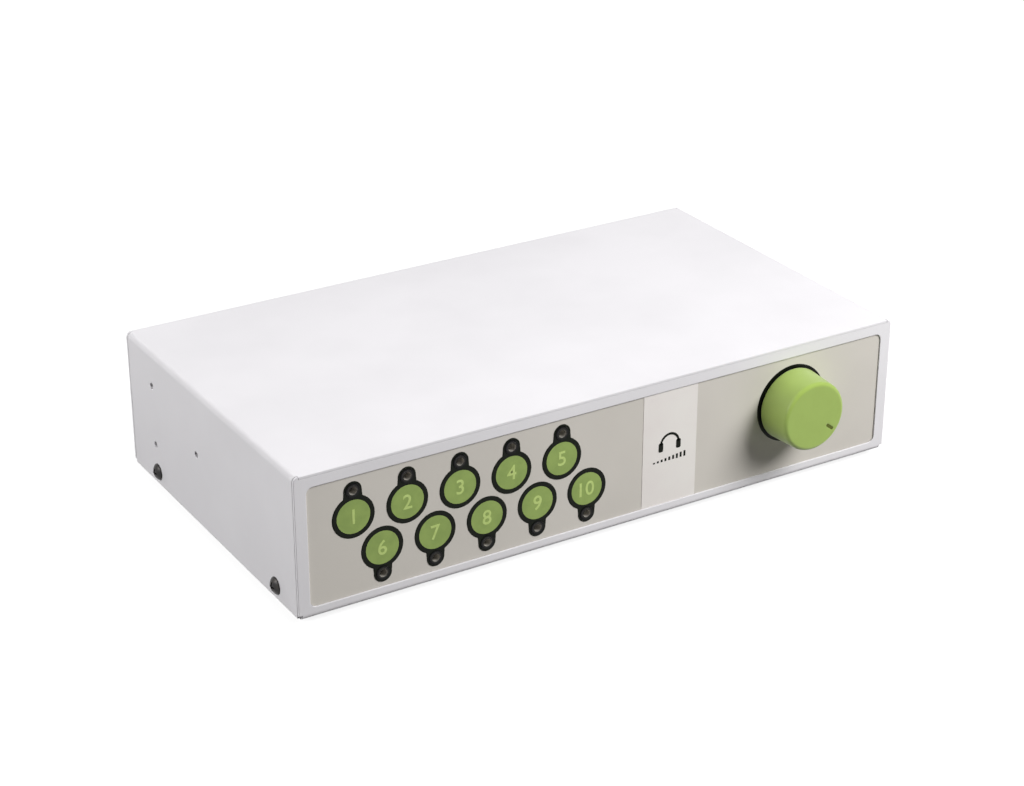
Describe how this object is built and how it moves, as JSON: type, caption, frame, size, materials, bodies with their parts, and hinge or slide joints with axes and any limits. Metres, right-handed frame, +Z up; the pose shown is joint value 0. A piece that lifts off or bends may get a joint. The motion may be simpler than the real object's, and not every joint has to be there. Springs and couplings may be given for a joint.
{
  "type": "headphone splitter box",
  "caption": "Low white steel box with two staggered rows of numbered headphone sockets and one large green volume knob, for sharing one sound source.",
  "frame": {"origin": "under the middle of the whole object's box, at the level of the feet", "axes": "+X to the right seen from the front, +Y from the front panel to the rear, +Z up"},
  "size_m": [0.3046, 0.187, 0.068],
  "materials": {
    "white_paint": "satin powder coat",
    "black_screw": "black oxide",
    "zinc_steel": "zinc plated",
    "rubber": "matte",
    "overlay_film": "fine satin",
    "black_ink": "screen printed",
    "green_ink": "screen printed",
    "pale_ink": "screen printed",
    "black_moulding": "moulded",
    "nickel": "nickel plated",
    "spring_brass": "bright",
    "circuit_board": "solder resist",
    "cable_sheath": "smooth",
    "capacitor_sleeve": "shrink sleeve",
    "heat_sink_metal": "extruded",
    "phenolic": "pressed",
    "green_knob": "satin moulded"
  },
  "bodies": {
    "case": {"top_cover": "white_paint", "chassis": "white_paint", "cover_screws": "black_screw", "cover_nuts": "zinc_steel", "foot_front_left": "rubber", "foot_front_right": "rubber", "foot_rear_left": "rubber", "foot_rear_right": "rubber", "foot_screws": "zinc_steel", "small_nuts": "zinc_steel", "front_overlay": "overlay_film", "printed_outlines": "black_ink", "printed_discs": "green_ink", "printed_strip": "pale_ink", "headphone_jack_1": "black_moulding", "headphone_jack_2": "black_moulding", "headphone_jack_3": "black_moulding", "headphone_jack_4": "black_moulding", "headphone_jack_5": "black_moulding", "headphone_jack_6": "black_moulding", "headphone_jack_7": "black_moulding", "headphone_jack_8": "black_moulding", "headphone_jack_9": "black_moulding", "headphone_jack_10": "black_moulding", "socket_ferrules": "nickel", "jack_tip_springs": "spring_brass", "jack_ring_springs": "spring_brass", "jack_board": "circuit_board", "panel_studs": "zinc_steel", "stud_spacers": "nickel", "board_headers": "black_moulding", "ribbon_cable": "cable_sheath", "amp_board": "circuit_board", "board_standoffs": "zinc_steel", "board_screws": "zinc_steel", "amp_chips": "black_moulding", "output_capacitors": "capacitor_sleeve", "reservoir_capacitors": "capacitor_sleeve", "voltage_regulator": "black_moulding", "heat_sink": "heat_sink_metal", "pot_bush": "zinc_steel", "pot_can": "nickel", "pot_wafer": "phenolic", "pot_terminals": "nickel", "pot_washer": "nickel", "pot_nut": "zinc_steel", "pot_cable": "cable_sheath", "line_in_jack": "black_moulding", "line_in_contacts": "spring_brass", "line_in_nut": "nickel", "dc_inlet": "black_moulding", "dc_inlet_pin": "nickel", "dc_inlet_spring": "spring_brass"},
    "volume_control": {"volume_knob": "green_knob", "knob_insert": "spring_brass", "knob_pointer": "black_ink", "pot_shaft": "nickel", "shaft_clip": "nickel", "pot_wiper": "phenolic"}
  },
  "joints": [
    {"name": "volume", "type": "hinge", "parent": "case", "child": "volume_control", "pos_m": [0.0955, -0.07548, 0.0398], "axis": [0, 1, 0], "range_deg": [-278, 22]}
  ]
}
